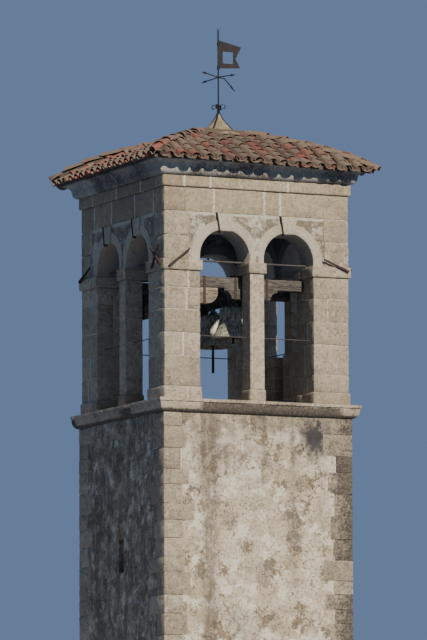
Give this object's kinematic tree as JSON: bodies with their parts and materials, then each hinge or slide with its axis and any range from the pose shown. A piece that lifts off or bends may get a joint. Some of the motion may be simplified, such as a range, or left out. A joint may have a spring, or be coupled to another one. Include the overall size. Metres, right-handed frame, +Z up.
{
  "type": "bell tower",
  "caption": "Square stone bell tower with paired arched belfry lights, hung bells in a timber frame, a low tiled pyramid roof and an iron banner weathervane.",
  "frame": {"origin": "on the ground at the middle of the tower's square foot", "axes": "+Z up; the sunny front of the picture faces -Y, the shaded side of the picture faces -X"},
  "size_m": [4.77, 4.77, 17.5235],
  "materials": {
    "ashlar": "weathered limestone, matt",
    "plaster": "patchy lime plaster over rubble, matt",
    "tiles": "old curved clay tiles, matt",
    "mortar": "rough lime mortar, matt",
    "old_timber": "weathered grey-brown oak, matt",
    "door_timber": "old planks, matt",
    "wrought_iron": "rusty forged iron, matt",
    "bell_bronze": "dark bronze with a green patina"
  },
  "bodies": {
    "tower": {"doorway_sill": "ashlar", "doorway_jambs": "ashlar", "doorway_lintel": "ashlar", "door_leaf": "door_timber", "shaft_corners": "ashlar", "shaft_front_wall": "plaster", "shaft_left_wall": "plaster", "shaft_right_wall": "plaster", "shaft_back_sides": "plaster", "shaft_back_middle": "plaster", "string_course_front_back": "ashlar", "string_course_sides": "ashlar", "belfry_floor": "old_timber", "base_blocks": "ashlar", "corner_pillars": "ashlar", "centre_piers": "ashlar", "imposts": "ashlar", "arch_wall_front": "ashlar", "arch_wall_back": "ashlar", "arch_wall_left": "ashlar", "arch_wall_right": "ashlar", "keystones": "ashlar", "right_parapets": "ashlar", "cornice_front_back": "ashlar", "cornice_sides": "ashlar", "roof_slopes_front_back": "tiles", "roof_slopes_sides": "tiles", "roof_cap": "mortar", "vane_pole": "wrought_iron", "compass_arms": "wrought_iron", "scroll_straps": "wrought_iron", "tie_rods": "wrought_iron", "anchor_bars": "wrought_iron", "guard_rods": "wrought_iron", "front_bearer": "old_timber", "middle_bearer": "old_timber", "rear_bearer": "old_timber", "bearer_props": "old_timber", "bearer_straps": "wrought_iron", "bearing_blocks": "wrought_iron"},
    "vane": {"vane_banner": "wrought_iron"},
    "front_bell": {"front_headstock": "old_timber", "front_bell_irons": "wrought_iron", "front_bell": "bell_bronze"},
    "front_clapper": {"front_clapper": "wrought_iron"},
    "rear_bell": {"rear_headstock": "old_timber", "rear_bell_irons": "wrought_iron", "rear_bell": "bell_bronze"},
    "rear_clapper": {"rear_clapper": "wrought_iron"}
  },
  "joints": [
    {"name": "vane_turn", "type": "hinge", "parent": "tower", "child": "vane", "pos_m": [0.11, 0, 17], "axis": [0, 0, 1], "continuous": true},
    {"name": "front_bell_swing", "type": "hinge", "parent": "tower", "child": "front_bell", "pos_m": [0.07, -0.69, 12.606], "axis": [0, 1, 0], "range_deg": [-25, 25]},
    {"name": "front_clapper_swing", "type": "hinge", "parent": "front_bell", "child": "front_clapper", "pos_m": [0.07, -0.69, 12.02], "axis": [0, 1, 0], "range_deg": [-30, 30]},
    {"name": "rear_bell_swing", "type": "hinge", "parent": "tower", "child": "rear_bell", "pos_m": [0.3, 0.69, 12.606], "axis": [0, 1, 0], "range_deg": [-25, 25]},
    {"name": "rear_clapper_swing", "type": "hinge", "parent": "rear_bell", "child": "rear_clapper", "pos_m": [0.3, 0.69, 12.02], "axis": [0, 1, 0], "range_deg": [-30, 30]}
  ]
}
